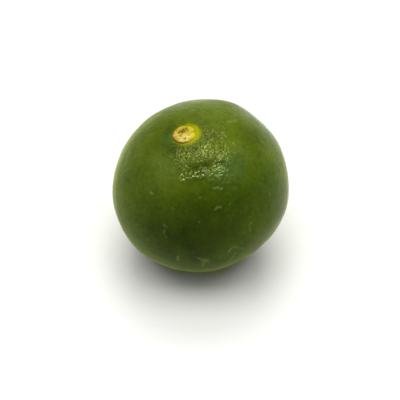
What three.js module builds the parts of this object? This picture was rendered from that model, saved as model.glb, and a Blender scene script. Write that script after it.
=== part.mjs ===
// A whole lime, standing on a small flat spot with its stem end up and leaning a little.
//
// Millimetres, +Z up. The origin is on the floor, straight below the middle of the fruit.
// Each shape is a function of a direction seen from the middle of the fruit, in the fruit's own
// frame, where z runs out through the stem and x and y span the girth. settle() then leans the
// shape over and stands it on the floor.
//
// fruit        the whole green fruit, one solid: an oblate body with a shallow dimple and faint
//              furrows at the stem end, and a low nipple in a ring groove at the other end
// stem_button  the dry woody disc left where the stalk came away, seated in the dimple

import * as THREE from 'three';

// ---- Driving dimensions ----

const girthRadius = 24.9;              // half of the widest width
const poleRadius = 22.9;               // from the middle to either end, before dimple and nipple
const lean = { x: -0.184, y: -0.13 };  // how far the unit stem direction leaves the vertical
const flatDepth = 0.26;                // what the floor presses in where the fruit lies

// The small forms at the two ends: heights and depths in mm, places and spreads in degrees.
const dimple = { depth: 0.8, spread: 17 };
const seat = { depth: 0.5, spread: 8.9 };          // the recess that holds the stem button
const furrows = { count: 7, depth: 0.09, at: 26, spread: 11 };
const nipple = { around: 35, fromStem: 174, height: 0.9, spread: 6 };
const nippleGroove = { depth: 0.14, at: 11, spread: 3.5 };

// Where the round body swells (+) or flattens (-): degrees round the girth and from the stem,
// the rise in mm, and how many degrees it reaches.
const swells = [
  { name: 'crest behind the stem', around: 55, fromStem: 56, rise: 0.67, reach: 9 },
  { name: 'swelling on the right shoulder', around: 24, fromStem: 75, rise: 0.13, reach: 9 },
  { name: 'flat behind the left shoulder', around: 118, fromStem: 47, rise: -0.36, reach: 16 },
  { name: 'dent in the left shoulder', around: 147, fromStem: 54, rise: -0.33, reach: 9 },
  { name: 'flat left flank', around: 170, fromStem: 65, rise: -0.62, reach: 14 },
  { name: 'swelling low on the left', around: -141, fromStem: 102, rise: 0.33, reach: 9 },
  { name: 'swelling under the front', around: -123, fromStem: 113, rise: 0.21, reach: 14 },
  { name: 'flat low on the right', around: -63, fromStem: 122, rise: -0.23, reach: 9 },
  { name: 'swelling on the right flank', around: -18, fromStem: 106, rise: 0.44, reach: 12 },
];

const button = {
  radius: 3,         // measured along the rind
  lobed: 0.03,       // a faint five-lobed edge: how far it swings in and out, and how it is turned
  lobeTurn: 36,
  seatGap: 0.3,      // between the disc and the rind
  rim: 0.45,         // height of the raised lip
  rimFade: 0.2,      // how much lower the lip is on the side where the rind meets it
  flushSide: 45,     // degrees round the girth of that side
  dish: 0.12,        // how far the face sinks inside its lip
};

// The hollow where the stalk's core tore out of the button: its middle, its half-length and
// half-width as shares of the disc's radius, its turn in degrees and its depth in mm.
const hollow = { x: -0.04, y: 0.45, long: 0.55, short: 0.25, turn: 18, depth: 0.18 };

const fruitMesh = { around: 72, fromPoleToPole: 50 };
const buttonMesh = { around: 48, fromPoleToPole: 22 };
const ringCrowding = 0.2;  // rings lie closer at the two ends, where the small forms are

// ---- Helpers ----

const degrees = THREE.MathUtils.degToRad;

const stemLean = new THREE.Vector3(lean.x, lean.y, Math.sqrt(1 - lean.x ** 2 - lean.y ** 2));
const standing = leaningFrame(stemLean);

// The height of the middle of the fruit: half the height of the leaning ellipsoid, less what is
// pressed flat.
const middleHeight = Math.sqrt(
  girthRadius ** 2 * (1 - stemLean.z ** 2) + poleRadius ** 2 * stemLean.z ** 2,
) - flatDepth;

// The turn that takes z to the stem direction and keeps x in the plane of the world's x.
function leaningFrame(stem) {
  const x = new THREE.Vector3(1, 0, 0).addScaledVector(stem, -stem.x).normalize();
  const y = new THREE.Vector3().crossVectors(stem, x);
  return new THREE.Matrix4().makeBasis(x, y, stem);
}

function directionAt(around, fromStem) {
  return new THREE.Vector3(
    Math.sin(fromStem) * Math.cos(around),
    Math.sin(fromStem) * Math.sin(around),
    Math.cos(fromStem),
  );
}

// 1 at zero distance, falling off as a bell curve, or with a flat top and a steep side.
const bell = (distance, spread) => Math.exp(-((distance / spread) ** 2));
const plateau = (distance, spread) => Math.exp(-((distance / spread) ** 8));

// A closed mesh whose vertices are pointAt(around, fromStem), both in radians.
function globe({ around, fromPoleToPole }, crowding, pointAt) {
  const geometry = new THREE.SphereGeometry(1, around, fromPoleToPole);
  geometry.rotateX(Math.PI / 2);
  const position = geometry.getAttribute('position');
  const vertex = new THREE.Vector3();
  for (let i = 0; i < position.count; i += 1) {
    vertex.fromBufferAttribute(position, i).normalize();
    const even = Math.acos(THREE.MathUtils.clamp(vertex.z, -1, 1));
    const fromStem = even - crowding * Math.sin(2 * even);
    const longitude = Math.atan2(vertex.y, vertex.x);
    position.setXYZ(i, ...pointAt(longitude, fromStem).toArray());
  }
  return geometry;
}

// Leans a shape over, lifts it by the height of the fruit's middle, and presses flat what would
// reach below the floor.
function settle(geometry) {
  geometry.applyMatrix4(standing);
  geometry.translate(0, 0, middleHeight);
  const position = geometry.getAttribute('position');
  for (let i = 0; i < position.count; i += 1) {
    position.setZ(i, Math.max(position.getZ(i), 0));
  }
  geometry.computeVertexNormals();
  return geometry;
}

// ---- The fruit ----

const towards = ({ around, fromStem }) => directionAt(degrees(around), degrees(fromStem));
const swellDirections = swells.map(towards);
const nippleDirection = towards(nipple);

// Distance from the middle of the fruit to its rind.
function rindRadius(around, fromStem) {
  const direction = directionAt(around, fromStem);
  const girth = Math.hypot(direction.x, direction.y);
  const ellipsoid = 1 / Math.hypot(girth / girthRadius, direction.z / poleRadius);
  const fromNipple = direction.angleTo(nippleDirection);

  let rise = -dimple.depth * bell(fromStem, degrees(dimple.spread));
  rise -= seat.depth * plateau(fromStem, degrees(seat.spread));
  rise -= furrows.depth * (0.5 + 0.5 * Math.cos(furrows.count * around))
    * bell(fromStem - degrees(furrows.at), degrees(furrows.spread));
  rise += nipple.height * bell(fromNipple, degrees(nipple.spread));
  rise -= nippleGroove.depth
    * bell(fromNipple - degrees(nippleGroove.at), degrees(nippleGroove.spread));
  swells.forEach((swell, i) => {
    const sharpness = 1 / degrees(swell.reach) ** 2;
    rise += swell.rise * Math.exp(sharpness * (direction.dot(swellDirections[i]) - 1));
  });
  return ellipsoid + rise;
}

function fruitGeometry() {
  return settle(globe(fruitMesh, ringCrowding, (around, fromStem) => (
    directionAt(around, fromStem).multiplyScalar(rindRadius(around, fromStem))
  )));
}

// ---- The stem button ----

function buttonEdge(around) {
  const outline = 1 + button.lobed * Math.cos(5 * (around - degrees(button.lobeTurn)));
  return (button.radius * outline) / (poleRadius - dimple.depth - seat.depth);
}

// 1 in the middle of the hollow, falling off slowly along it and quickly across it.
function tornOut(x, y) {
  const turned = degrees(hollow.turn);
  const along = (x - hollow.x) * Math.cos(turned) + (y - hollow.y) * Math.sin(turned);
  const over = (y - hollow.y) * Math.cos(turned) - (x - hollow.x) * Math.sin(turned);
  return Math.exp(-((along / hollow.long) ** 4) - (over / hollow.short) ** 2);
}

// Thickness of the disc above its seat: a rounded lip, a dished face and the off-centre hollow.
// across is 0 at the middle and 1 at the edge.
function buttonThickness(around, across) {
  const edge = Math.sqrt(1 - across ** 8);
  const lip = button.rim - button.rimFade * across * Math.cos(around - degrees(button.flushSide));
  const dish = button.dish * (1 - across ** 4);
  const tear = hollow.depth * tornOut(across * Math.cos(around), across * Math.sin(around));
  return edge * (lip - dish - tear);
}

function buttonGeometry() {
  return settle(globe(buttonMesh, 0, (around, turn) => {
    const across = Math.min(Math.sin(turn), 1);
    const fromStem = buttonEdge(around) * across;
    const top = turn < Math.PI / 2 ? buttonThickness(around, across) : 0;
    const radius = rindRadius(around, fromStem) + button.seatGap + top;
    return directionAt(around, fromStem).multiplyScalar(radius);
  }));
}

// ---- The lime ----

const rind = new THREE.MeshStandardMaterial({ color: 0x4d6a1a, roughness: 0.38, metalness: 0 });
const dryWood = new THREE.MeshStandardMaterial({ color: 0xc9ae5a, roughness: 0.85, metalness: 0 });

const fruit = new THREE.Mesh(fruitGeometry(), rind);
fruit.name = 'fruit';

const stemButton = new THREE.Mesh(buttonGeometry(), dryWood);
stemButton.name = 'stem_button';

const lime = new THREE.Group();
lime.name = 'lime';
lime.add(fruit, stemButton);

export default lime;
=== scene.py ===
# %% [markdown]
# # A lime, from bare solids to a fresh fruit
#
# The construction model of this lime already exists: a closed solid for the fruit, which rests on
# a small flat spot with its stem end up, and one for the dry button where the stalk came away.
# This lesson loads those solids as a fixed frame and dresses them. Each is replaced by a finer
# surface of the same form, with the pitted rind, the colours and the gloss of the real thing.
#
# Lengths in the shape functions are in millimetres, which suit a fruit. They become metres, the
# unit of the frame, at the moment a mesh is made.

import itertools

import bpy
import numpy as np
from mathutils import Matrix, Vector


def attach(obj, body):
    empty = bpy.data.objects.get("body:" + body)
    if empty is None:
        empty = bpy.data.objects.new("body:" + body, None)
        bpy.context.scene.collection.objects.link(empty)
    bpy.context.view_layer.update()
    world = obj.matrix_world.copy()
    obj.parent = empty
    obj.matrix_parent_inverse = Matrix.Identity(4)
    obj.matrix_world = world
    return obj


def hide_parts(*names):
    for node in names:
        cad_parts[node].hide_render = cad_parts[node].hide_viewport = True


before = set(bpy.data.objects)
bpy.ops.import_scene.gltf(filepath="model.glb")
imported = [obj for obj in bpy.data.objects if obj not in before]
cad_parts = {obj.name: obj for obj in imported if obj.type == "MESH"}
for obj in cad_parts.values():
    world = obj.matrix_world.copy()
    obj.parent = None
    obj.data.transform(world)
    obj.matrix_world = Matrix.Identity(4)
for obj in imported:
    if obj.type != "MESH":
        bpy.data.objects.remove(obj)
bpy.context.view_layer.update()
MM = 0.001
print("solids:", sorted(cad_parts))

# %% [markdown]
# ## Where the stem points
#
# A lime seldom stands bolt upright. This one leans towards its left and its front, so every form
# is worked out in the fruit's own frame, whose z axis runs out through the stem, and is leaned
# over at the end. A direction from the middle of the fruit names a place on its rind, the way
# longitude and latitude name a place on a globe.

# %% The fruit's own frame
GIRTH_RADIUS = 24.9
POLE_RADIUS = 22.9
LEAN = (-0.184, -0.13)
FLAT_DEPTH = 0.26


def unit(vectors):
    """Each vector divided by its length."""
    return vectors / np.linalg.norm(vectors, axis=-1, keepdims=True)


def direction(around, from_stem):
    """The unit vector at `around` degrees round the girth and `from_stem` degrees from the stem."""
    a, s = np.radians(around), np.radians(from_stem)
    return np.stack([np.sin(s) * np.cos(a), np.sin(s) * np.sin(a), np.cos(s)], axis=-1)


stem = np.array([*LEAN, np.sqrt(1 - LEAN[0] ** 2 - LEAN[1] ** 2)])
side = unit(np.array([1.0, 0.0, 0.0]) - stem[0] * stem)
standing = np.stack([side, np.cross(stem, side), stem])
half_height = np.hypot(GIRTH_RADIUS * np.hypot(*LEAN), POLE_RADIUS * stem[2])
middle_height = half_height - FLAT_DEPTH
print("the stem leans", round(float(np.degrees(np.arccos(stem[2]))), 1), "degrees")
print("the middle of the fruit is", round(float(middle_height), 2), "mm above the floor")


def settle(points):
    """Leans points over, lifts them by the middle's height and presses flat what is underground."""
    points = points @ standing + [0, 0, middle_height]
    points[..., 2] = np.maximum(points[..., 2], 0)
    return points


# %% [markdown]
# ## The form of the fruit
#
# Seen from across a room a lime is a slightly flattened ball. Closer, it has a shallow dimple and
# faint furrows at the stem, a nipple at the far end, and soft swellings where it grew unevenly.
# One could push these into a sphere by hand. A sum of bell curves does it exactly, and gives the
# same fruit as the solid, which uses the same numbers.
#
# Heights and depths are in millimetres, places and spreads in degrees. Each swelling has its place
# round the girth and from the stem, its rise, which is below zero for a flat, and its reach.

# %% Small forms and swellings
DIMPLE = {"depth": 0.8, "spread": 17}
SEAT = {"depth": 0.5, "spread": 8.9}
FURROWS = {"count": 7, "depth": 0.09, "at": 26, "spread": 11}
NIPPLE = {"around": 35, "from_stem": 174, "height": 0.9, "spread": 6}
NIPPLE_GROOVE = {"depth": 0.14, "at": 11, "spread": 3.5}
SWELLS = {
    "crest behind the stem": (55, 56, 0.67, 9),
    "swelling on the right shoulder": (24, 75, 0.13, 9),
    "flat behind the left shoulder": (118, 47, -0.36, 16),
    "dent in the left shoulder": (147, 54, -0.33, 9),
    "flat left flank": (170, 65, -0.62, 14),
    "swelling low on the left": (-141, 102, 0.33, 9),
    "swelling under the front": (-123, 113, 0.21, 14),
    "flat low on the right": (-63, 122, -0.23, 9),
    "swelling on the right flank": (-18, 106, 0.44, 12),
}


def bell(distance, spread):
    """1 at zero distance, falling off as exp(-(distance / spread) squared)."""
    return np.exp(-((distance / spread) ** 2))


def plateau(distance, spread):
    """Like bell, with a flat top and a steep side: exp(-(distance / spread) to the eighth)."""
    return np.exp(-((distance / spread) ** 8))


def ramp(values, low, high):
    """0 below low, 1 above high and straight in between."""
    return np.clip((values - low) / (high - low), 0, 1)


def towards(angle, degrees):
    """1 where an angle in radians points this way, falling as a cosine to 0 on the far side."""
    return 0.5 + 0.5 * np.cos(angle - np.radians(degrees))


def degrees_between(directions, target):
    """The angle in degrees from each direction to one target direction."""
    return np.degrees(np.arccos(np.clip(directions @ target, -1, 1)))


def rind_radius(directions):
    """Distance in mm from the middle to the rind: an oblate ellipsoid plus a sum of bell curves."""
    girth = np.hypot(directions[:, 0], directions[:, 1])
    radius = 1 / np.hypot(girth / GIRTH_RADIUS, directions[:, 2] / POLE_RADIUS)
    from_stem = np.degrees(np.arccos(np.clip(directions[:, 2], -1, 1)))
    around = np.arctan2(directions[:, 1], directions[:, 0])
    radius -= DIMPLE["depth"] * bell(from_stem, DIMPLE["spread"])
    radius -= SEAT["depth"] * plateau(from_stem, SEAT["spread"])
    ridges = 0.5 + 0.5 * np.cos(FURROWS["count"] * around)
    radius -= FURROWS["depth"] * ridges * bell(from_stem - FURROWS["at"], FURROWS["spread"])
    nipple = direction(NIPPLE["around"], NIPPLE["from_stem"])
    from_nipple = degrees_between(directions, nipple)
    radius += NIPPLE["height"] * bell(from_nipple, NIPPLE["spread"])
    from_groove = from_nipple - NIPPLE_GROOVE["at"]
    radius -= NIPPLE_GROOVE["depth"] * bell(from_groove, NIPPLE_GROOVE["spread"])
    for place_around, place_from_stem, rise, reach in SWELLS.values():
        cosine = directions @ direction(place_around, place_from_stem)
        radius += rise * np.exp((cosine - 1) / np.radians(reach) ** 2)
    return radius


print(len(SWELLS), "swellings and flats")

# %% [markdown]
# ## Unevenness
#
# Grown things are never quite regular. Smooth noise supplies that: random values on the corners
# of a grid of cubes, blended in between. Written with whole arrays it takes a fraction of a second
# for a hundred thousand points, and a fixed seed gives the same fruit every time.
#
# Every array of random numbers takes its seed from one list, so that a new form can be given a seed
# of its own without moving the old ones.

# %% Smooth noise
NOISE_CELLS = 32
FRAY = {"middle": 0.6, "swing": 0.9}
SEEDS = {
    "long waves": 0, "short waves": 1, "gland places": 11, "gland strengths": 12, "halo": 21,
    "coarse grain": 31, "fine grain": 32, "rust": 33, "blush edges": 41, "scars": 51,
    "speck places": 61, "speck strengths": 62,
}


def noise(points, size, seed):
    """Smooth noise from -1 to 1: random corner values of cubes `size` mm across, blended."""
    values = np.random.default_rng(seed).uniform(-1, 1, (NOISE_CELLS,) * 3)
    scaled = points / size
    corner = np.floor(scaled).astype(int)
    part = scaled - corner
    part = part * part * (3 - 2 * part)
    total = np.zeros(len(points))
    for offset in itertools.product((0, 1), repeat=3):
        weight = np.prod(np.where(offset, part, 1 - part), axis=1)
        cell = (corner + offset) % NOISE_CELLS
        total += weight * values[cell[:, 0], cell[:, 1], cell[:, 2]]
    return total


def frayed(points, size, seed):
    """Noise shifted and stretched until much of it is 1 and some is 0, to eat into a mark."""
    return np.clip(FRAY["middle"] + FRAY["swing"] * noise(points, size, seed), 0, 1)


print("the noise repeats every", NOISE_CELLS, "blotches")

# %% [markdown]
# ## Oil glands
#
# What makes a rind a rind is its oil glands: thousands of tiny pits about a millimetre apart, each
# with a shiny wall that catches the light. A regular grid of pits would look knitted, and random
# ones would clump. Points spread by the golden angle, as seeds are in a sunflower, and then nudged,
# lie evenly but in no pattern. Each gland also gets a strength of its own, so that some pits are
# deep and others hardly show.

# %% Scatter the glands
GLAND_SPACING = 1.32
GLAND_NUDGE = 0.27
GLAND_STRENGTHS = (0.35, 1.3)
SLICES = 64
mean_radius = (GIRTH_RADIUS * 2 + POLE_RADIUS) / 3
gland_count = int(4 * np.pi * mean_radius ** 2 / GLAND_SPACING ** 2)


def scattered(count, nudge, seed):
    """Unit vectors a golden angle apart from pole to pole, nudged by a share of their spacing."""
    index = np.arange(count) + 0.5
    height = 1 - 2 * index / count
    turn = index * np.pi * (3 - np.sqrt(5))
    ring = np.sqrt(1 - height ** 2)
    even = np.stack([ring * np.cos(turn), ring * np.sin(turn), height], axis=1)
    spacing = np.sqrt(4 * np.pi / count)
    return unit(even + np.random.default_rng(seed).normal(0, nudge * spacing, even.shape))


def nearest(directions, places):
    """For each direction, the number of the nearest place and its angle, worked out in slices."""
    found = []
    for part in np.array_split(directions.astype(np.float32), SLICES):
        found.append(np.argmax(part @ places.T.astype(np.float32), axis=1))
    found = np.concatenate(found)
    gap = np.linalg.norm(directions - places[found], axis=1)
    return found, 2 * np.arcsin(gap / 2)


glands = scattered(gland_count, GLAND_NUDGE, SEEDS["gland places"])
gland_draw = np.random.default_rng(SEEDS["gland strengths"])
gland_strength = gland_draw.uniform(*GLAND_STRENGTHS, gland_count)
print(gland_count, "oil glands,", GLAND_SPACING, "mm apart")

# %% [markdown]
# ## A globe without poles
#
# The usual sphere of rings and slices crowds its faces at two poles, where this fruit has its
# dimple and its nipple. Six square grids blown up from the sides of a cube have faces of nearly
# one size everywhere. The grid lines are spaced by equal angles, and points on the cube's edges
# belong to two or three sides, so they are found by their whole-number places and merged exactly.
# Each side is laid out in cyclic order, x then y then z, so that all of its faces look outwards.

# %% Cube grid to globe
def globe_grid(cells):
    """Directions and quads of six square grids, tan(angle) apart, pushed out to the unit sphere."""
    step = np.arange(cells + 1)
    u, v = np.meshgrid(step, step, indexing="ij")
    sides = []
    for axis, end in itertools.product(range(3), (0, cells)):
        square = [u, v] if end else [v, u]
        side = np.stack([np.full_like(u, end), *square], axis=-1)
        sides.append(np.roll(side, axis, axis=-1))
    places, number = np.unique(np.stack(sides).reshape(-1, 3), axis=0, return_inverse=True)
    number = number.reshape(6, cells + 1, cells + 1)
    corners = [number[:, :-1, :-1], number[:, 1:, :-1], number[:, 1:, 1:], number[:, :-1, 1:]]
    quads = np.stack(corners, axis=-1).reshape(-1, 4)
    warped = np.tan((2 * places / cells - 1) * np.pi / 4)
    return unit(warped), quads


GLOBE_CELLS = 128
directions, quads = globe_grid(GLOBE_CELLS)
first, second, third, fourth = (directions[quads[:, i]] for i in range(4))
outward = np.einsum("ij,ij->i", np.cross(third - first, fourth - second), first)
print(len(quads), "quads,", int((outward < 0).sum()), "of them inside out")

# %% [markdown]
# ## From arrays to a mesh
#
# Blender takes whole arrays for its vertices and faces, which is much quicker than adding them
# one by one. Numbers that the finish will need, such as how far the nearest gland is, travel with
# the vertices as named attributes, and the material reads them by name.

# %% Make a piece from arrays
def make_piece(name, points, faces, numbers):
    """A smooth mesh of four-sided faces from points in mm, carrying named numbers per vertex."""
    mesh = bpy.data.meshes.new(name)
    mesh.vertices.add(len(points))
    mesh.vertices.foreach_set("co", (points * MM).astype(np.float32).ravel())
    mesh.loops.add(faces.size)
    mesh.loops.foreach_set("vertex_index", faces.astype(np.int32).ravel())
    mesh.polygons.add(len(faces))
    mesh.polygons.foreach_set("loop_start", np.arange(0, faces.size, 4, dtype=np.int32))
    mesh.polygons.foreach_set("use_smooth", np.ones(len(faces), dtype=bool))
    mesh.update(calc_edges=True)
    mesh.validate()
    for label, values in numbers.items():
        kind, field = ("FLOAT_VECTOR", "vector") if values.ndim == 2 else ("FLOAT", "value")
        layer = mesh.attributes.new(label, kind, "POINT")
        layer.data.foreach_set(field, values.astype(np.float32).ravel())
    piece = bpy.data.objects.new(name, mesh)
    bpy.context.scene.collection.objects.link(piece)
    size = np.ptp(points, axis=0)
    print(name, len(points), "vertices,", size.round(2), "mm")
    return piece


# %% [markdown]
# ## Marks on the rind
#
# No fruit hangs on a tree for months without a scratch. Painting them by hand would need a picture
# wrapped round a ball. The few pale scars on this one are short strokes instead: the distance from
# every vertex to a line through some places on the rind, turned into a soft-edged mark and frayed
# by noise. Each has a width in millimetres and its places in degrees round the girth and from the
# stem. Hundreds of specks, most of them faint, lie between the scars.

# %% Strokes on the globe
SCARS = {
    "dash behind the button": (0.42, [(21, 32), (20, 34), (23, 38)]),
    "left arm of the smudge": (0.35, [(-91, 89), (-89, 91), (-88, 94)]),
    "right arm of the smudge": (0.28, [(-87, 90), (-88, 93)]),
    "middle of the smudge": (0.85, [(-87, 93), (-88, 96)]),
    "foot of the smudge": (0.6, [(-88, 96), (-89, 99)]),
    "smudge on the left": (0.3, [(-103, 87), (-104, 92)]),
    "chain on the left": (0.24, [(-111, 63), (-108, 65), (-110, 68), (-109, 72)]),
    "hair on the right": (0.24, [(-52, 77), (-54, 79), (-55, 83)]),
    "whorl above": (0.27, [(-72, 91), (-70, 88), (-67, 88), (-64, 92), (-61, 96)]),
    "whorl below": (0.3, [(-68, 95), (-70, 98), (-74, 104)]),
    "wave in front": (0.24, [(-66, 44), (-65, 45), (-62, 45), (-61, 47), (-59, 47)]),
    "nick on the right": (0.24, [(-30, 72), (-31, 73)]),
    "arc in front": (0.24, [(-71, 57), (-69, 56), (-67, 57)]),
    "bright speck": (0.24, [(-80, 47), (-79.5, 47)]),
    "small speck": (0.24, [(-103, 52), (-102.6, 52)]),
    "speck on the belly": (0.24, [(-60, 58), (-59.6, 58)]),
    "specks on the left": (0.24, [(-126, 46), (-123, 46)]),
}
SCAR_FRAY = 0.5
SPECKS = {"count": 400, "size": 0.2, "nudge": 0.5}


def from_line(directions, start, end):
    """Distance in mm from each direction, on a ball of the fruit's size, to a straight line."""
    run = end - start
    share = np.clip((directions - start) @ run / (run @ run), 0, 1)
    return mean_radius * np.linalg.norm(directions - start - share[:, None] * run, axis=1)


def scars(directions):
    """1 on the strokes in SCARS and 0 a little beyond their width in mm, frayed by noise."""
    total = np.zeros(len(directions))
    for width, stroke in SCARS.values():
        places = [direction(*place) for place in stroke]
        for start, end in zip(places, places[1:]):
            total = np.maximum(total, bell(from_line(directions, start, end), width))
    return total * frayed(directions * mean_radius, SCAR_FRAY, SEEDS["scars"])


def specks(directions):
    """Small pale dots at random places. Most are faint, because each strength is a cube."""
    places = scattered(SPECKS["count"], SPECKS["nudge"], SEEDS["speck places"])
    strengths = np.random.default_rng(SEEDS["speck strengths"]).uniform(0, 1, len(places)) ** 3
    found, angle = nearest(directions, places)
    return strengths[found] * bell(angle * mean_radius, SPECKS["size"])


print(len(SCARS), "scars and", SPECKS["count"], "specks")

# %% [markdown]
# ## Blushes
#
# A fruit colours by where the sun reached it. A blush is a soft patch centred on a place on the
# rind, with its reach in degrees and its amount. Many of them, with noise on top, make the slow
# drift of colour that one flat green would miss.
#
# The first lists turn the green yellower or bluer and lay the grey bloom of the wax over it; on the
# rims and beside the glints that pale grey is painted sheen as well. The next list darkens the
# green as painted shade, mostly on the belly, at the bottom edge and round the glints. The last two
# say where the wax is polished and where the rind breaks the gloss up. An amount below zero takes
# some away again, and leaves paler green or a matt gap.

# %% Soft patches of colour
YELLOWING = {
    "right shoulder": (-12, 43, 17, 0.9),
    "behind the button": (40, 34, 20, 0.9),
    "rim on the left shoulder": (136, 38, 8, 0.8),
    "left flank": (-165, 38, 16, 0.3),
    "front left": (-120, 29, 11, 0.6),
    "behind the stem": (80, 38, 18, 0.9),
    # The patches low on the left and on the right rim are a painted rim sheen as well as yellowing.
    "low on the left": (-150, 62, 9, 0.7),
    "right rim": (-2, 60, 8, 0.8),
    "under the glints on the right": (-33, 26, 7, 0.7),
    "in front on the right": (-41, 45, 4, 0.9),
    "below the glints": (-98, 39, 9, 0.35),
    "right of the glints": (-17, 32, 8, 0.4),
}
BLUEING = {
    "in front on the right": (-39, 44, 9, 0.85),
    "left of the button": (-170, 10, 5, 0.8),
    "beside the window's glint": (-36, 41, 7, 0.3),
    "right flank": (-20, 75, 12, 0.2),
}
# The wax's grey bloom. On the rims, on the crest behind the stem and beside the glints it is also a
# painted sheen.
BLOOM_AND_SHEEN = {
    "shoulder on the left": (-128, 27, 11, 0.7),
    "front on the left": (-120, 35, 9, 0.45),
    "in front on the right": (-41, 45, 5, 0.4),
    "right shoulder": (-17, 40, 6, 0.5),
    "left of the glints": (-95, 25, 7, 0.4),
    "beside the glints": (-20, 34, 5, 0.4),
    "above the button": (60, 27, 15, 0.9),
    "crest behind the stem": (38, 60, 11, 0.7),
    "right rim": (-10, 74, 11, 0.7),
}
# Painted shade: darker green where less light falls, on the belly, at the bottom edge, round the
# glints and on the seat's wall. An amount below zero takes some of it away.
PAINTED_SHADE = {
    "belly": (-90, 70, 18, 1.0),
    "belly on the right": (-55, 64, 13, 0.4),
    "middle of the belly": (-77, 58, 10, 0.42),
    "lower belly on the right": (-76, 71, 9, 0.3),
    "front on the left": (-116, 60, 10, 0.3),
    "low on the left": (-114, 81, 12, 0.65),
    "left flank": (-152, 42, 9, 0.18),
    "left of the button": (-157, 15, 7, 0.25),
    "below the button": (-112, 14, 4.5, 0.6),
    "below the button on the left": (-128, 16, 4, 0.25),
    "right of the button": (-3, 21, 7, 0.12),
    "below the belly": (-95, 92, 18, 0.35),
    "bottom edge": (-90, 106, 10, 0.8),
    "right of the belly": (-44, 60, 8, 0.34),
    "edge under the right flank": (-50, 107, 6, 0.3),
    "low in front on the right": (-67, 100, 4, 0.22),
    "edge low on the left": (-114, 92, 4, 0.2),
    "in front on the left flank": (-129, 67, 5, 0.18),
    "left side": (-152, 52, 5, 0.18),
    "behind the left shoulder": (121, 31, 6, 0.2),
    "below the lower glints": (-82, 38.5, 3.5, -0.2),
    "left of the belly": (-102, 68, 3.5, -0.2),
    "in front of the belly": (-65, 59, 3.5, -0.15),
    "low on the right": (-67, 91, 8, 0.22),
    "spot on the right shoulder": (2, 43, 6, 0.3),
    "right shoulder": (-14, 54, 6, 0.15),
    "between the glints": (-68, 28, 4, 0.4),
    "between the glints on the right": (-51, 29, 4.5, 0.3),
    "over the lower glints": (-87, 30, 4, 0.4),
    "above the button on the left": (140, 10.5, 4, 0.5),
    "shoulder on the left": (-172, 27, 8, 0.1),
    "above the glints": (-6, 20, 7, 0.15),
    "beside the halo": (-62, 15.5, 3.5, 0.5),
    "behind the halo": (25, 13.5, 4, 0.25),
    "around the lower glints": (-80, 35, 6, 0.4),
    "around the window's glint": (-45, 37, 5, 0.35),
    "low on the left side": (-119, 72, 6, 0.22),
    "beside the smudge": (-68, 99, 5, 0.2),
    "right flank": (-27, 64, 5, 0.15),
    "below the glints on the right": (-62, 43, 5, 0.15),
    "over the lower glints on the right": (-72, 32, 4, 0.45),
    "rim on the right shoulder": (6, 52, 8, 0.32),
    "middle of the belly on the right": (-70, 62, 7, 0.2),
    "beside the belly": (-57, 50, 4, -0.1),
    "low on the left, in front": (-116, 90, 7, 0.2),
    "bottom edge on the right": (-53, 105, 9, 0.7),
    "above the belly": (-80, 45, 5, -0.12),
    "under the smudge": (-86, 90, 4, -0.2),
}
print(len(YELLOWING) + len(BLUEING) + len(BLOOM_AND_SHEEN) + len(PAINTED_SHADE), "patches of colour")

# %% Soft patches of gloss
POLISH = {
    "shoulder in front": (-55, 18, 8, 1.0),
    "shoulder on the right": (-38, 30, 8, 0.9),
    "shoulder on the left": (-80, 19, 5, 0.29),
    "far left of the glints": (-112, 18, 4, 0.3),
    "beside the button": (-8, 21, 6, 0.4),
    "upper specks on the right": (-3, 27, 2.2, 0.7),
    "upper specks on the left": (4, 17.5, 2.2, 0.5),
    "gap under the upper specks": (-13, 21, 2.4, -0.5),
    "gap between the glints": (-60, 28.5, 2.5, -1.2),
    "gap on the right": (-52, 30.5, 3, -0.8),
    "gap in the window's glint": (-42, 35, 2, -1.2),
    "left side of the window's glint": (-57, 36, 1.5, -0.4),
    "gap on the left": (-75, 26.5, 2.5, -1.0),
    "lower glints, left end": (-93, 33, 3.2, 1.2),
    "lower glints on the left": (-85, 33, 3, 1.2),
    "lower glints": (-76, 33, 2.5, 1.0),
    "lower glints, right end": (-67, 33, 2.5, 1.0),
    "lower glints on the right": (-52, 37, 4.4, 1.2),
    "crest behind the stem": (42, 60, 14, 0.6),
    "right shoulder's rim": (15, 66, 12, 0.5),
    "right flank's rim": (-16, 86, 14, 0.35),
    "low on the right": (-33, 100, 14, 0.4),
    "behind the stem": (80, 46, 18, 0.35),
}
ROUGH = {
    "shoulder in front": (-48, 20, 10, 1.0),
    "shoulder on the left": (-80, 19, 8, 0.38),
    "shoulder on the right": (-30, 29, 7, 0.6),
    "beside the button": (-8, 21, 7, 0.45),
    "lower glints": (-85, 33, 4, 0.1),
    "window's glint": (-46, 37, 5, 0.2),
    "far left of the glints": (-112, 18, 5, 0.4),
    "behind the stem": (60, 45, 30, 0.12),
    "left flank": (165, 55, 30, 0.12),
}
BLUSH_EDGE = {"size": 5.0, "swing": 0.35}


def blush(directions, patches, least=0.0):
    """The sum of a bell over each patch, uneven at its edge, kept between `least` and 1."""
    total = np.zeros(len(directions))
    uneven = noise(directions * mean_radius, BLUSH_EDGE["size"], SEEDS["blush edges"])
    edge = 1 + BLUSH_EDGE["swing"] * uneven
    for place_around, place_from_stem, reach, amount in patches.values():
        away = degrees_between(directions, direction(place_around, place_from_stem))
        total += amount * bell(away, reach * edge)
    return np.clip(total, least, 1)


print(len(POLISH) + len(ROUGH), "patches of gloss")

# %% [markdown]
# ## The rind
#
# The rind is the globe grid pushed out to the fruit's form. On top of that form come soft waves a
# few millimetres long, which break up the reflection of a lamp, and a wide shallow pit over each
# oil gland, deepest on the shoulders. The sharp inner part of each pit is finer than the mesh and
# is left to the material.

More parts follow.
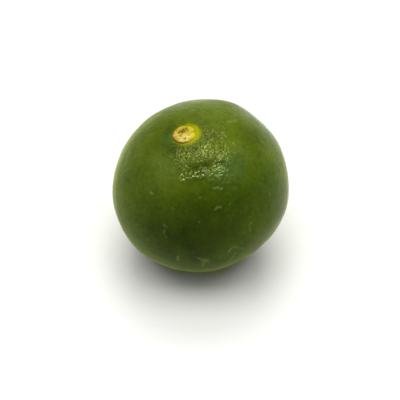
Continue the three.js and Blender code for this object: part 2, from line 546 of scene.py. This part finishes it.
# %% Waves and pits
WAVES = {"long waves": (6.5, 0.08), "short waves": (2.6, 0.05)}
PIT = {"depth": 0.05, "radius": 0.45}
PIT_FADE = {"from": 42, "over": 22, "least": 0.3}
PITS_START = 9.2

from_stem = degrees_between(directions, np.array([0, 0, 1]))
from_nipple = degrees_between(directions, direction(NIPPLE["around"], NIPPLE["from_stem"]))
around = np.arctan2(directions[:, 1], directions[:, 0])
places = directions * mean_radius
gland, gland_angle = nearest(directions, glands)
gland_gap = gland_angle * mean_radius
gland_places = settle(glands * rind_radius(glands)[:, None]) * MM

fade = bell(np.maximum(from_stem - PIT_FADE["from"], 0), PIT_FADE["over"])
strength = gland_strength[gland] * (PIT_FADE["least"] + (1 - PIT_FADE["least"]) * fade)
on_open_rind = 1 - plateau(from_stem, PITS_START)
radius = rind_radius(directions)
for name, (length, height) in WAVES.items():
    radius += height * noise(places, length, SEEDS[name])
radius -= PIT["depth"] * strength * bell(gland_gap, PIT["radius"]) * on_open_rind
print("the rind is", radius.min().round(1), "to", radius.max().round(1), "mm from the middle")

# %% [markdown]
# ## Where the rind meets the button
#
# Round the button the rind swells up as a collar and turns yellow as a halo, both of them wider on
# one side. On the low side, where the button's lip hangs over the rind, the rind is painted dark as
# the shadow under the lip. All three follow the angle from the stem, so they are rings, and
# `towards` turns each to its own side.

# %% Collar, halo and the shadow painted under the lip
HALO = {"edge": 8.2, "reach": 0.9, "far_side": -21, "far_reach": 2.1, "near_share": 0.35}
HALO_EDGE = {"size": 1.1, "swing": 0.4}
# Where the shadow under the button's lip is painted on the rind: inside an angle from the stem,
# turned to the low side.
CREVICE_SHADOW = {"within": 8.3, "side": -122, "turned": (0.5, 0.85)}
COLLAR = {"at": 8.7, "spread": 1.25, "rise": 0.4}

far_side = towards(around, HALO["far_side"])
radius += COLLAR["rise"] * bell(from_stem - COLLAR["at"], COLLAR["spread"]) * far_side ** 2
uneven = HALO_EDGE["swing"] * noise(places, HALO_EDGE["size"], SEEDS["halo"])
halo_reach = HALO["reach"] + HALO["far_reach"] * far_side ** 2 + uneven
halo = bell(np.maximum(from_stem - HALO["edge"], 0), halo_reach)
halo *= HALO["near_share"] + (1 - HALO["near_share"]) * far_side
low_side = ramp(towards(around, CREVICE_SHADOW["side"]), *CREVICE_SHADOW["turned"])
crevice_shadow = plateau(from_stem, CREVICE_SHADOW["within"]) * low_side
print("the halo covers", int((halo > 0.5).sum()), "vertices")

# %% Shape the rind
MATTEST = -0.28

rind = make_piece("rind", settle(directions * radius[:, None]), quads, {
    "gland_gap": gland_gap,
    "gland_place": gland_places[gland],
    "gland_strength": strength * on_open_rind,
    "from_stem": from_stem,
    "from_nipple": from_nipple,
    "halo": halo,
    # painted shadow on the rind under the button's low lip
    "crevice_shadow": crevice_shadow,
    "scar": np.maximum(scars(directions), specks(directions)),
    "yellowing": blush(directions, YELLOWING),
    "blueing": blush(directions, BLUEING),
    # the wax's bloom, with painted sheen on the rims and beside the glints
    "bloom_and_sheen": blush(directions, BLOOM_AND_SHEEN),
    # painted shade, darker towards the belly and round the glints
    "painted_shade": blush(directions, PAINTED_SHADE),
    "polish": blush(directions, POLISH, MATTEST) * (1 - halo),
    "rough": blush(directions, ROUGH),
})
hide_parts("fruit")
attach(rind, "root")

# %% [markdown]
# ## The stem button
#
# Where the stalk came away it leaves a dry woody disc with a raised lip. Its face is dished, and
# on one side the stalk's core tore out and left a crescent of dark pits, the cut ends of the
# fruit's vessels. The same globe grid serves again: its upper half becomes the face and its lower
# half the seat, so the lip is where the two meet and needs no seam.
#
# Places on the face are shares of its radius: x and y for the hollow and for each pit or spot,
# with a spread. The torn hollow is a stretched bell whose long axis is bent into a crescent.

# %% Pits, spots and the torn hollow
HOLLOW = {"x": -0.1, "y": 0.38, "long": 0.48, "short": 0.27, "turn": 22, "bend": 0.25}
HOLLOW_DEPTH = 0.18
HOLLOW_FRAY = 0.05
# A power below one widens the hollow's bell into the tan shadow painted round it.
HOLLOW_SHADOW_POWER = 0.3
PITS = [
    (-0.42, 0.31, 0.09), (-0.26, 0.44, 0.08), (-0.10, 0.57, 0.08), (-0.05, 0.43, 0.08),
    (-0.18, 0.31, 0.10), (-0.16, 0.17, 0.07), (0.20, 0.68, 0.08), (-0.50, 0.17, 0.06),
    (-0.38, -0.24, 0.06), (-0.28, -0.27, 0.05), (0.12, -0.58, 0.08), (0.05, 0.22, 0.05),
]
PIT_DEPTH = 0.2
RUST_SPOTS = [
    (-0.50, -0.69, 0.10), (-0.70, -0.21, 0.11), (-0.86, 0.10, 0.09), (-0.72, 0.44, 0.12),
    (0.70, 0.11, 0.09), (-0.60, 0.17, 0.08), (0.86, 0.12, 0.13),
]


def spots(x, y, places):
    """1 on each spot (x, y, spread) of the face, falling off as a bell."""
    total = np.zeros(len(x))
    for place_x, place_y, spread in places:
        total = np.maximum(total, bell(np.hypot(x - place_x, y - place_y), spread))
    return total


def torn_out(x, y):
    """exp(-along to the fourth - over squared), along and over a line bent as a parabola."""
    turned = np.radians(HOLLOW["turn"])
    x, y = x - HOLLOW["x"], y - HOLLOW["y"]
    along = (x * np.cos(turned) + y * np.sin(turned)) / HOLLOW["long"]
    bent = y * np.cos(turned) - x * np.sin(turned) + HOLLOW["bend"] * x * x
    return np.exp(-(along ** 4) - (bent / HOLLOW["short"]) ** 2)


print(len(PITS), "pits and", len(RUST_SPOTS), "spots of rust")

# %% The button's grid and outline
BUTTON = {"radius": 3.0, "lobes": 5, "lobed": 0.015, "lobe_turn": 36, "flat_back": 0.08, "back": 95}
BUTTON_CELLS = 64

globe, button_quads = globe_grid(BUTTON_CELLS)
turn = np.arccos(np.clip(globe[:, 2], -1, 1))
spin = np.arctan2(globe[:, 1], globe[:, 0])
across = np.sin(turn)
face_x = across * np.cos(spin)
face_y = across * np.sin(spin)
is_face = globe[:, 2] > 0

lobes = np.cos(BUTTON["lobes"] * (spin - np.radians(BUTTON["lobe_turn"])))
outline = 1 + BUTTON["lobed"] * lobes - BUTTON["flat_back"] * towards(spin, BUTTON["back"]) ** 2
seat_radius = POLE_RADIUS - DIMPLE["depth"] - SEAT["depth"]
tilt_out = BUTTON["radius"] * outline * across / seat_radius
button_directions = direction(np.degrees(spin), np.degrees(tilt_out))
print("the button reaches", round(float(np.degrees(tilt_out.max())), 1), "degrees from the stem")

# %% The button's thickness
LIP = {"height": 0.45, "fade": 0.2, "flush_side": 45, "dish": 0.12}
ROLL = {"height": 0.05, "at": 0.88, "width": 0.08}
GRAIN = {"coarse": 0.7, "coarse_size": 0.7, "fine": 0.6, "fine_size": 0.3, "relief": 0.05}
SEAT_GAP = 0.3
SEAT_DEPTH = 0.25

flat_places = np.stack([face_x, face_y, np.zeros_like(face_x)], axis=1) * BUTTON["radius"]
grain = GRAIN["coarse"] * noise(flat_places, GRAIN["coarse_size"], SEEDS["coarse grain"])
grain += GRAIN["fine"] * noise(flat_places, GRAIN["fine_size"], SEEDS["fine grain"])
hollow = torn_out(face_x + HOLLOW_FRAY * grain, face_y)
holes = spots(face_x, face_y, PITS)

# The lip is lowest on its flush side. Inside it the face is dished by 1 - across to the fourth, and
# at the very edge it rounds off as the root of 1 - across to the eighth.
thickness = LIP["height"] - LIP["fade"] * across * np.cos(spin - np.radians(LIP["flush_side"]))
thickness -= LIP["dish"] * (1 - across ** 4)
thickness += ROLL["height"] * bell(across - ROLL["at"], ROLL["width"]) - HOLLOW_DEPTH * hollow
thickness += GRAIN["relief"] * grain - PIT_DEPTH * holes
thickness *= np.sqrt(np.maximum(1 - across ** 8, 0))
seat = rind_radius(button_directions) + SEAT_GAP
button_radius = seat + np.where(is_face, thickness, -SEAT_DEPTH)
print("the button is up to", round(float(thickness.max() + SEAT_DEPTH), 2), "mm thick")

# %% [markdown]
# ## Colours on one side of the button
#
# The sun, the weather and the rind each marked the disc from their own side: a yellow flush, a
# green rim where the rind grew against it and rust. Each is a ramp outwards over the face times a
# ramp round towards its side. On the low side the seat and the very edge of the lip are painted
# brown as the shadow under the lip.

# %% Shape the button
EDGE_MARKS = {
    "flush": {"outwards": (0.35, 0.75), "side": 38, "turned": (0.5, 0.8)},
    "green_rim": {"outwards": (0.85, 0.93), "side": 75, "turned": (0.45, 0.7)},
    "rust": {"outwards": (0.68, 0.84), "side": 180, "turned": (0.4, 0.7)},
}
RUST_FRAY = 0.4
# Where the brown shadow under the lip is painted: the seat and the face's very edge, on the low
# side.
LIP_SHADOW = {"from": 0.993, "side": -108, "turned": (0.6, 0.9)}


def edge_mark(name):
    """A ramp outwards over the face times a ramp of towards, the mark's own side."""
    mark = EDGE_MARKS[name]
    return ramp(across, *mark["outwards"]) * ramp(towards(spin, mark["side"]), *mark["turned"])


below_edge = np.where(is_face, across > LIP_SHADOW["from"], True)
button = make_piece("button", settle(button_directions * button_radius[:, None]), button_quads, {
    "hollow": hollow * is_face,
    # the tan shadow painted round the torn hollow
    "shadow_round_hollow": hollow ** HOLLOW_SHADOW_POWER * is_face,
    "holes": holes * is_face,
    "grain": grain,
    "flush": edge_mark("flush"),
    "green_rim": edge_mark("green_rim"),
    "rust": edge_mark("rust") * frayed(flat_places, RUST_FRAY, SEEDS["rust"]),
    "rust_spots": spots(face_x, face_y, RUST_SPOTS),
    # painted shadow under the lip
    "lip_shadow": below_edge * ramp(towards(spin, LIP_SHADOW["side"]), *LIP_SHADOW["turned"]),
})
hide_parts("stem_button")
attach(button, "root")

# %% [markdown]
# ## Writing a finish as sums
#
# A material is a web of nodes, and wiring them one by one hides the idea. Here a socket is wrapped
# so that it can be added, multiplied and divided like a number, and each operator quietly adds its
# Math node. Colours need nodes of their own kind, because a Math node would turn them grey. A board
# holds the nodes of one material, or of the world.

# %% A small language for materials
class Wire:
    """An output socket that works like a number: every operator adds a Math node."""

    def __init__(self, board, socket):
        self.board = board
        self.socket = socket

    def math(self, operation, *values):
        return self.board.node("ShaderNodeMath", {"operation": operation}, dict(enumerate(values)))

    def __add__(self, other):
        return self.math("ADD", self, other)

    def __radd__(self, other):
        return self.math("ADD", other, self)

    def __sub__(self, other):
        return self.math("SUBTRACT", self, other)

    def __rsub__(self, other):
        return self.math("SUBTRACT", other, self)

    def __mul__(self, other):
        return self.math("MULTIPLY", self, other)

    def __rmul__(self, other):
        return self.math("MULTIPLY", other, self)

    def __truediv__(self, other):
        return self.math("DIVIDE", self, other)

    def exp(self):
        return self.math("EXPONENT", self)

    def at_least(self, other):
        return self.math("MAXIMUM", self, other)

    def bell(self, spread):
        """exp(-(self / spread) squared), the same curve as the arrays use."""
        ratio = self / spread
        return (0 - ratio * ratio).exp()

    def step(self, low, high):
        """0 below low, 1 above high, and a smooth rise between them."""
        settings = {"interpolation_type": "SMOOTHSTEP"}
        values = {"Value": self, "From Min": low, "From Max": high}
        return self.board.node("ShaderNodeMapRange", settings, values)


class Board:
    """The nodes of a new material or world, cleared, and one method that adds any node."""

    def __init__(self, owner):
        owner.use_nodes = True
        self.owner = owner
        self.tree = owner.node_tree
        self.tree.nodes.clear()

    def node(self, kind, settings=None, values=None, output=0):
        """Adds a node: its settings first, then a value or a wire for each socket."""
        made = self.tree.nodes.new(kind)
        for key, value in (settings or {}).items():
            setattr(made, key, value)
        for key, value in (values or {}).items():
            if isinstance(value, Wire):
                self.tree.links.new(value.socket, made.inputs[key])
            else:
                made.inputs[key].default_value = value
        return Wire(self, made.outputs[output]) if len(made.outputs) else None

    def number(self, name):
        """A number that the mesh carries at each vertex."""
        return self.node("ShaderNodeAttribute", {"attribute_name": name}, output="Fac")

    def to_nearest(self, place, gap, slack):
        """Distance in mm to the place the mesh carries, but at least its coarser gap - slack."""
        here = self.node("ShaderNodeTexCoord", output="Object")
        there = self.node("ShaderNodeAttribute", {"attribute_name": place}, output="Vector")
        settings = {"operation": "DISTANCE"}
        exact = self.node("ShaderNodeVectorMath", settings, {0: here, 1: there}, output="Value")
        return (exact / MM).at_least(self.number(gap) - slack)

    def noise(self, size, detail=2.0, seed=0.0):
        """Noise from 0 to 1 with blotches about `size` mm across, fixed to the object."""
        place = self.node("ShaderNodeTexCoord", output="Object")
        values = {"Vector": place, "W": seed, "Scale": 1 / (size * MM), "Detail": detail}
        return self.node("ShaderNodeTexNoise", {"noise_dimensions": "4D"}, values)

    def mix(self, factor, first, second):
        """A colour between two colours, at a factor kept between 0 and 1."""
        settings = {"data_type": "RGBA", "blend_type": "MIX", "clamp_factor": True}
        values = {0: factor, 6: first, 7: second}
        return self.node("ShaderNodeMix", settings, values, output=2)

    def layered(self, base, layers):
        """A colour with each layer mixed over the last by the mesh's number times its share."""
        for name, (share, tone) in layers.items():
            base = self.mix(self.number(name) * share, base, tone)
        return base

    def bump(self, height):
        """A normal from a height in mm."""
        values = {"Height": height, "Distance": MM, "Strength": 1.0}
        return self.node("ShaderNodeBump", None, values)

    def surface(self, **values):
        """A Principled BSDF, with its sockets named as arguments."""
        named = {key.replace("_", " "): value for key, value in values.items()}
        return self.node("ShaderNodeBsdfPrincipled", None, named)

    def blend(self, factor, first, second):
        """Some of one surface and some of another, light by light."""
        return self.node("ShaderNodeMixShader", None, {0: factor, 1: first, 2: second})

    def finish(self, surface, output="ShaderNodeOutputMaterial"):
        """Wires a surface to the output and gives the finished material or world."""
        self.node(output, None, {"Surface": surface})
        print(self.owner.name, "has", len(self.tree.nodes), "nodes")
        return self.owner


def colour(red, green, blue):
    """A colour in linear light with full alpha."""
    return (red, green, blue, 1.0)


# %% [markdown]
# ## The rind's finish
#
# A green lime is not one green. Its shoulders are paler and yellower than its flanks, the blushes
# and soft noise shift it further, and every gland shows as a faint dot. The belly, the bottom edge
# and the places round the glints are darkened by painted shade. Around the button the green gives
# way to yellow, and to a dark shadow painted under its lip. Each layer is mixed over the last by
# its own share.
#
# Noise is about one half on average, so what is left of it above a level is a scatter of blotches.

# %% The rind's greens
SHOULDER = colour(0.044, 0.065, 0.003)
FLANK = colour(0.033, 0.060, 0.0022)
# The deepest green: the colour of dark mottling and flecks, and of the painted shade.
DEEP_GREEN_AND_SHADE = colour(0.0058, 0.0150, 0.0006)
YELLOW_GREEN = colour(0.065, 0.094, 0.0035)
BLUE_GREEN = colour(0.028, 0.070, 0.020)
# A pale grey green for the wax's bloom and for the sheen painted on the rims.
BLOOM_AND_SHEEN_GREY = colour(0.080, 0.112, 0.030)
HALO_YELLOW = colour(0.25, 0.246, 0.0008)
# A dark olive brown painted on the rind under the button's lip, as its shadow.
CREVICE_SHADOW_BROWN = colour(0.030, 0.025, 0.001)
SCAR_PALE = colour(0.19, 0.24, 0.075)
STYLE_BROWN = colour(0.10, 0.055, 0.012)

SHOULDER_ENDS = (20, 65)
STYLE_REACH = 1.6
BLUSHES = {
    "yellowing": (0.8, YELLOW_GREEN),
    "blueing": (0.6, BLUE_GREEN),
    "bloom_and_sheen": (0.35, BLOOM_AND_SHEEN_GREY),
    # painted shade mixes the green towards the deepest green
    "painted_shade": (1.0, DEEP_GREEN_AND_SHADE),
}
RINGS_AND_SCARS = {
    "halo": (1.0, HALO_YELLOW),
    "crevice_shadow": (1.0, CREVICE_SHADOW_BROWN),
    "scar": (0.4, SCAR_PALE),
}

paint = Board(bpy.data.materials.new("waxed_rind"))
down = paint.number("from_stem")
green = paint.mix(down.step(*SHOULDER_ENDS), SHOULDER, FLANK)
green = paint.layered(green, BLUSHES)
print(len(BLUSHES), "kinds of blush over the green")

# %% Blotches, flecks and dots on the rind
BROAD_BLOTCHES = {"above": 0.4, "share": 0.8}
MOTTLE = {"above": 0.45, "share": 1.2}
FLECKS = {"share": 1.1, "less_in_shade": 0.8}
DOTS = {"spread": 0.3, "above": 0.2, "share": 0.3}
MESH_SLACK = 0.12

broad = paint.noise(size=7, detail=3)
mottle = paint.noise(size=1.9, detail=3, seed=5)
fleck = paint.noise(size=0.9, detail=2, seed=9)
gland_distance = paint.to_nearest("gland_place", "gland_gap", MESH_SLACK)
dots = gland_distance.bell(DOTS["spread"]) * paint.number("gland_strength")
dots = dots * (mottle - DOTS["above"])
pale_share = FLECKS["share"] - FLECKS["less_in_shade"] * paint.number("painted_shade")

green = paint.mix((broad - BROAD_BLOTCHES["above"]) * BROAD_BLOTCHES["share"], green, YELLOW_GREEN)
green = paint.mix((mottle - MOTTLE["above"]) * MOTTLE["share"], green, DEEP_GREEN_AND_SHADE)
green = paint.mix((fleck - 0.5) * pale_share, green, YELLOW_GREEN)
green = paint.mix((0.5 - fleck) * FLECKS["share"], green, DEEP_GREEN_AND_SHADE)
green = paint.mix(dots * DOTS["share"], green, YELLOW_GREEN)
green = paint.layered(green, RINGS_AND_SCARS)
green = paint.mix(paint.number("from_nipple").bell(STYLE_REACH), green, STYLE_BROWN)
print("the greens take", len(paint.tree.nodes), "nodes")

# %% [markdown]
# ## Pebbling and wax
#
# Between the waves of the mesh and the smooth wax lies the finest relief: the sharp bottom of each
# gland's pit, pebbles between the glands and faint folds. A bump can make it, because it never
# shows in the outline. Pits and pebbles are strong where the rind is rough, the folds where it is
# polished.
#
# The gloss is a thin uneven coat of wax. One shader with half its gloss would look like plastic, so
# two are mixed: wax, which mirrors the lamps and tints them by the skin below, and bare skin, which
# only scatters light, with a faint sheen. Where the rind is polished there is more wax. In the halo
# and in the dimple, inside the angles in DULL_SEAT, there is none.

# %% The rind's relief
PEBBLING = {"rough": 0.94, "least": 0.06}
PIT_BOTTOM = {"depth": 0.2, "reach": 0.2}
FOLDS = {"height": 0.2, "polished": 0.09, "least": 0.03}
FINE_HEIGHT = 0.32
GRIT_HEIGHT = 0.12

fine = paint.noise(size=0.44, detail=0, seed=7)
grit = paint.noise(size=0.29, detail=0, seed=15)
folds = paint.noise(size=1.9, detail=0, seed=12)
pit_bottom = (0 - gland_distance / PIT_BOTTOM["reach"]).exp()
pebbling = paint.number("rough") * PEBBLING["rough"] + PEBBLING["least"]
relief = fine * FINE_HEIGHT + grit * GRIT_HEIGHT - pit_bottom * PIT_BOTTOM["depth"]
relief = (relief + folds * FOLDS["height"]) * (paint.number("gland_strength") * pebbling)
relief = relief + folds * (paint.number("polish") * FOLDS["polished"] + FOLDS["least"])
print("the pebbles are up to", FINE_HEIGHT, "mm high")

# %% The rind's wax
DULLNESS = {"polish": -0.045, "rough": -0.035, "halo": 0.2, "scar": 0.15}
WAX_DULLNESS = 0.13
MOTTLED_DULLNESS = 0.06
BARE_SHARE = 0.78
POLISHED_SHARE = 0.06
DULL_SEAT = (11, 9.5)

dull = WAX_DULLNESS + (mottle - 0.5) * MOTTLED_DULLNESS
for name, change in DULLNESS.items():
    dull = dull + paint.number(name) * change

normal = paint.bump(relief)
wax = paint.surface(
    Base_Color=green,
    Roughness=dull,
    Normal=normal,
    IOR=1.5,
    Specular_Tint=colour(0.92, 1.0, 0.26),
)
skin = paint.surface(
    Base_Color=green,
    Roughness=0.6,
    Normal=normal,
    Specular_IOR_Level=0.0,
    Sheen_Weight=0.5,
    Sheen_Roughness=0.35,
    Sheen_Tint=colour(0.78, 0.9, 0.25),
)
bare = BARE_SHARE - (BARE_SHARE - POLISHED_SHARE) * paint.number("polish")
bare = bare + (paint.number("halo") + down.step(*DULL_SEAT)) * (1 - BARE_SHARE)
rind.data.materials.append(paint.finish(paint.blend(bare, wax, skin)))

# %% [markdown]
# ## The button's finish
#
# The disc is dry end grain: cream and straw on the face, yellow and green on one side and rusty on
# the other. The torn hollow is brown and its pits nearly black, their own dark colour deepened by
# painted shade, and a tan shadow round the hollow and a brown shadow under the lip are painted too.
# It has next to no gloss, which sets it off from the waxed rind. The layers are mixed as the rind's
# are, the deepest last.

# %% Paint the button
CREAM = colour(0.455, 0.39, 0.09)
STRAW = colour(0.28, 0.20, 0.03)
GRAIN_ENDS = (-0.55, 0.5)
FIBRES = {"straw": 0.8, "least": 0.1, "dullness": 0.8, "uneven": 0.2, "height": 0.05}
# Flush, rust, green rim and rust spots are the disc's own colours. The tan round the hollow and the
# brown under the lip are painted shadow. The brown hollow and the nearly black pits are their own
# dark colour, deepened by painted shade.
WEATHERING_AND_SHADE = {
    "flush": (1.0, colour(0.37, 0.335, 0.006)),
    "rust": (0.8, colour(0.27, 0.13, 0.018)),
    "green_rim": (1.0, colour(0.22, 0.22, 0.008)),
    "rust_spots": (0.7, colour(0.13, 0.065, 0.008)),
    "shadow_round_hollow": (0.9, colour(0.257, 0.190, 0.003)),
    "hollow": (1.1, colour(0.18, 0.125, 0.001)),
    "holes": (1.0, colour(0.05, 0.028, 0.001)),
    "lip_shadow": (0.85, colour(0.11, 0.08, 0.004)),
}

paint = Board(bpy.data.materials.new("dry_wood"))
fibres = paint.noise(size=0.12, detail=3, seed=2)
wood = paint.mix(paint.number("grain").step(*GRAIN_ENDS), STRAW, CREAM)
wood = paint.mix((fibres - 0.5) * FIBRES["straw"] + FIBRES["least"], wood, STRAW)
button.data.materials.append(paint.finish(paint.surface(
    Base_Color=paint.layered(wood, WEATHERING_AND_SHADE),
    Roughness=FIBRES["dullness"] + (fibres - 0.5) * FIBRES["uneven"],
    Normal=paint.bump(fibres * FIBRES["height"]),
    Specular_IOR_Level=0.1,
)))

# %% [markdown]
# ## The studio
#
# The fruit stands on a white sweep under a wide soft light. The sweep is lit by the lamps near the
# fruit, so that it holds a shadow, and glows evenly further out, as paper lit from behind does.
# Right under the fruit the paper is painted darker and greener, as a contact shadow tinted by
# the light that the rind throws down.
#
# One set of lamps gives the light and the shadow and is hidden from gloss. A second set is seen by
# gloss alone: a softbox, two thin tubes and a bluish window, which break up into glints over the
# oil glands. Kept apart, the shadow and the glints can each be set without spoiling the other.

# %% The floor
FLOOR_RADIUS = 3.0
FLOOR_RINGS = 48
CONTACT_ZONE = (0.0128, 0.0172)
SHADOW_ZONE = (0.026, 0.049)
# A darker green painted on the paper round where the fruit stands, as its contact shadow.
GREEN_CONTACT_SHADOW = colour(0.38, 0.42, 0.24)
PAPER_WHITE = colour(0.6, 0.6, 0.59)
WHITE = colour(1.0, 1.0, 1.0)
BLACK = colour(0.0, 0.0, 0.0)
GLOW = 1.05


def disc(name, radius, rings):
    """A square grid bent into rings: each point goes out by its larger coordinate squared."""
    step = np.linspace(-1, 1, rings + 1)
    u, v = np.meshgrid(step, step, indexing="ij")
    reach = np.maximum(np.abs(u), np.abs(v))
    length = np.maximum(np.hypot(u, v), 1e-9)
    points = np.stack([u, v, np.zeros_like(u)], axis=-1)
    points *= (reach ** 2 * radius / MM / length)[..., None]
    number = np.arange((rings + 1) ** 2).reshape(rings + 1, rings + 1)
    corners = [number[:-1, :-1], number[1:, :-1], number[1:, 1:], number[:-1, 1:]]
    return make_piece(name, points.reshape(-1, 3), np.stack(corners, -1).reshape(-1, 4), {})


floor = disc("floor", FLOOR_RADIUS, FLOOR_RINGS)
paint = Board(bpy.data.materials.new("paper_sweep"))
place = paint.node("ShaderNodeTexCoord", output="Object")
settings = {"operation": "LENGTH"}
distance = paint.node("ShaderNodeVectorMath", settings, {0: place}, output="Value")
glow = distance.step(*SHADOW_ZONE)
# Inside CONTACT_ZONE the paper's colour is the painted green contact shadow.
paper_and_shadow = paint.mix(distance.step(*CONTACT_ZONE), GREEN_CONTACT_SHADOW, PAPER_WHITE)
floor.data.materials.append(paint.finish(paint.surface(
    Base_Color=paint.mix(glow, paper_and_shadow, BLACK),
    Emission_Color=paint.mix(glow, BLACK, WHITE),
    Emission_Strength=GLOW,
    Roughness=1.0,
    Specular_IOR_Level=0.0,
)))

# %% The lamps
LAMPS = {
    "overhead": {"middle": (0.0, -0.112, 0.9), "size": (1.215, 0.54), "radiance": 4.95},
    "back light": {"middle": (0.022, 0.956, 0.9), "size": (0.79, 1.15), "radiance": 6.3},
    "panel": {"middle": (0.0, 0.1, 1.0), "size": (2.6, 2.6), "radiance": 0.28},
}
GLINTS = {
    "softbox": {"middle": (0.05, 0.15, 0.8), "size": (0.7, 0.33), "radiance": 11.6, "turn": -10},
    "front tube": {"middle": (-0.16, -0.355, 0.8), "size": (0.45, 0.02), "radiance": 120},
    "back tube": {"middle": (0.12, 0.46, 0.8), "size": (0.4, 0.05), "radiance": 12},
    "window": {"middle": (0.325, -0.29, 0.8), "size": (0.37, 0.28), "radiance": 10.5},
}
WARM = (1, 1, 0.95)
GLINT_TINTS = {
    "softbox": (1, 0.98, 0.95),
    "front tube": (0.8, 0.8, 1),
    "back tube": (1, 1, 1),
    "window": (0.45, 0.62, 1),
}


def add_lamp(name, tint, middle, size, radiance, turn=0):
    """A rectangle of light facing down. Its power is its radiance times its area times pi."""
    light = bpy.data.lights.new(name, "AREA")
    light.shape = "RECTANGLE"
    light.size, light.size_y = size
    light.energy = radiance * size[0] * size[1] * np.pi
    light.color = tint
    lamp = bpy.data.objects.new(name, light)
    lamp.location = middle
    lamp.rotation_euler.z = np.radians(turn)
    bpy.context.scene.collection.objects.link(lamp)
    print(name, "gives", round(float(light.energy), 1), "W")
    return lamp


for name, lamp in LAMPS.items():
    add_lamp(name, WARM, **lamp).visible_glossy = False
for name, lamp in GLINTS.items():
    add_lamp(name, GLINT_TINTS[name], **lamp).visible_diffuse = False

# %% The room
WALL_ENDS = (0.15, 0.4)
CEILING_GREY = colour(0.25, 0.25, 0.25)

sky = Board(bpy.data.worlds.new("white room"))
up = sky.node("ShaderNodeTexCoord", output="Generated")
height = sky.node("ShaderNodeSeparateXYZ", None, {0: up}, output="Z")
wall = sky.mix(height.step(*WALL_ENDS), WHITE, CEILING_GREY)
background = sky.node("ShaderNodeBackground", None, {"Color": wall, "Strength": GLOW})
bpy.context.scene.world = sky.finish(background, "ShaderNodeOutputWorld")
bpy.context.scene.view_settings.view_transform = "Standard"

# %% [markdown]
# ## The camera
#
# The camera looks down at forty-five degrees from the front. It is aimed a little below the middle
# of the fruit, so that the fruit sits above the middle of the picture with its shadow below.

# %% Set up the camera
LENS = 85
SENSOR_WIDTH = 36
CAMERA_DISTANCE = 0.266
ELEVATION = np.radians(45)
AIM_BELOW = 0.00423
AIM_RIGHT = 0.00008

back = Vector((0.0, -np.cos(ELEVATION), np.sin(ELEVATION)))
upward = Vector((0.0, np.sin(ELEVATION), np.cos(ELEVATION)))
aim = Vector((AIM_RIGHT, 0.0, middle_height * MM)) - upward * AIM_BELOW
camera_data = bpy.data.cameras.new("camera")
camera_data.lens = LENS
camera_data.sensor_width = SENSOR_WIDTH
camera = bpy.data.objects.new("camera", camera_data)
camera.location = aim + back * CAMERA_DISTANCE
camera.rotation_euler = back.to_track_quat("Z", "Y").to_euler()
bpy.context.scene.collection.objects.link(camera)
bpy.context.scene.camera = camera
print("camera at", [round(c, 3) for c in camera.location])
